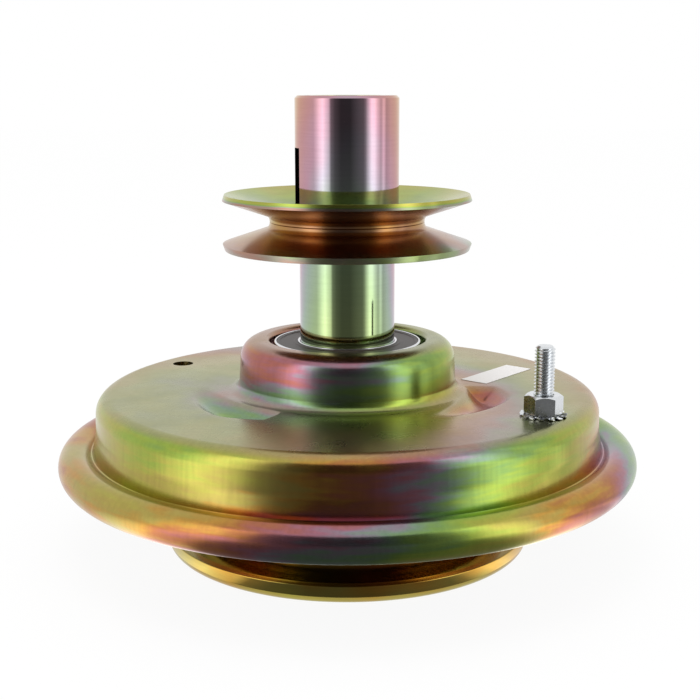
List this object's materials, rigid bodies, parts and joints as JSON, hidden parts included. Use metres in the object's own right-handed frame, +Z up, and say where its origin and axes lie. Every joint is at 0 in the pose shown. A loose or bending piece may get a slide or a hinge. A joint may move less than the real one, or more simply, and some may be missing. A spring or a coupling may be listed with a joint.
{
  "type": "blade clutch",
  "caption": "Blade brake clutch for a rotary mower: keyed crankshaft hub with a V belt pulley, pressed cover with ball ramps and a cable stud, and a dished blade carrier.",
  "frame": {"origin": "on the bore axis in the flat face that the blade bolts to, the lowest face of the part", "axes": "+Z up along the crankshaft bore, towards the engine; -Y is the side that the picture shows, +X to its right"},
  "size_m": [0.184, 0.184, 0.1425],
  "materials": {
    "hub_zinc": "turned steel, yellow chromate zinc plate, mirror bright",
    "pulley_zinc": "pressed steel, yellow chromate zinc plate, soft gloss",
    "cover_zinc": "pressed steel, yellow chromate zinc plate, soft gloss",
    "carrier_zinc": "pressed steel, yellow chromate zinc plate, soft gloss",
    "white_zinc": "bright zinc plate",
    "turned_steel": "turned, oiled",
    "pressed_steel": "pressed and ground, oiled",
    "bearing_steel": "ground",
    "cage_brass": "turned",
    "seal_rubber": "matt",
    "friction_lining": "moulded, matt",
    "spring_steel": "drawn wire and stamped strip, oiled",
    "label_paper": "matt white paper"
  },
  "bodies": {
    "carrier": {"blade_carrier": "carrier_zinc", "blade_nuts": "white_zinc", "clutch_drum": "carrier_zinc", "carrier_boss": "turned_steel", "boss_circlip": "spring_steel", "clutch_spring": "spring_steel", "lower_bearing_outer_ring": "bearing_steel", "lower_bearing_balls": "bearing_steel", "lower_bearing_cage": "cage_brass", "lower_bearing_seals": "seal_rubber"},
    "clutch": {"clutch_plate": "pressed_steel"},
    "hub": {"hub_sleeve": "hub_zinc", "pulley_upper_half": "pulley_zinc", "pulley_lower_half": "pulley_zinc", "spacer_sleeve": "turned_steel", "drive_disc": "turned_steel", "drive_lining": "friction_lining", "hub_circlip": "spring_steel", "upper_bearing_inner_ring": "bearing_steel", "lower_bearing_inner_ring": "bearing_steel"},
    "housing": {"bearing_housing": "turned_steel", "guide_pins": "turned_steel", "return_spring": "spring_steel", "lift_springs": "spring_steel", "upper_bearing_outer_ring": "bearing_steel", "upper_bearing_balls": "bearing_steel", "upper_bearing_cage": "cage_brass", "upper_bearing_seals": "seal_rubber"},
    "cover": {"cover_boss": "cover_zinc", "cover_top": "cover_zinc", "cover_wall": "cover_zinc", "cable_stud": "white_zinc", "stud_nut": "white_zinc", "tooth_washer": "white_zinc", "paper_label": "label_paper"},
    "brake": {"brake_plate": "pressed_steel", "brake_lining": "friction_lining", "ramp_balls": "bearing_steel"}
  },
  "joints": [
    {"name": "blade_spin", "type": "hinge", "parent": "carrier", "child": "hub", "pos_m": [0, 0, 0.0125], "axis": [0, 0, 1], "continuous": true},
    {"name": "clutch_lift", "type": "slide", "parent": "carrier", "child": "clutch", "axis": [0, 0, 1], "range_m": [0, 0.001], "deforming": ["clutch_spring"]},
    {"name": "hub_spin", "type": "hinge", "parent": "hub", "child": "housing", "pos_m": [0, 0, 0.0615], "axis": [0, 0, 1], "continuous": true},
    {"name": "cover_turn", "type": "hinge", "parent": "housing", "child": "cover", "pos_m": [0, 0, 0.059], "axis": [0, 0, 1], "range_deg": [0, 18], "stiffness_Nm_per_rad": 3, "springref_deg": -34.38},
    {"name": "brake_lift", "type": "slide", "parent": "housing", "child": "brake", "axis": [0, 0, 1], "range_m": [0, 0.0025], "deforming": ["lift_springs"]}
  ],
  "couplings": [
    {"joint": "brake_lift", "follows": "cover_turn", "m_per_rad": 0.00795},
    {"joint": "clutch_lift", "follows": "cover_turn", "m_per_rad": 0.00318}
  ]
}
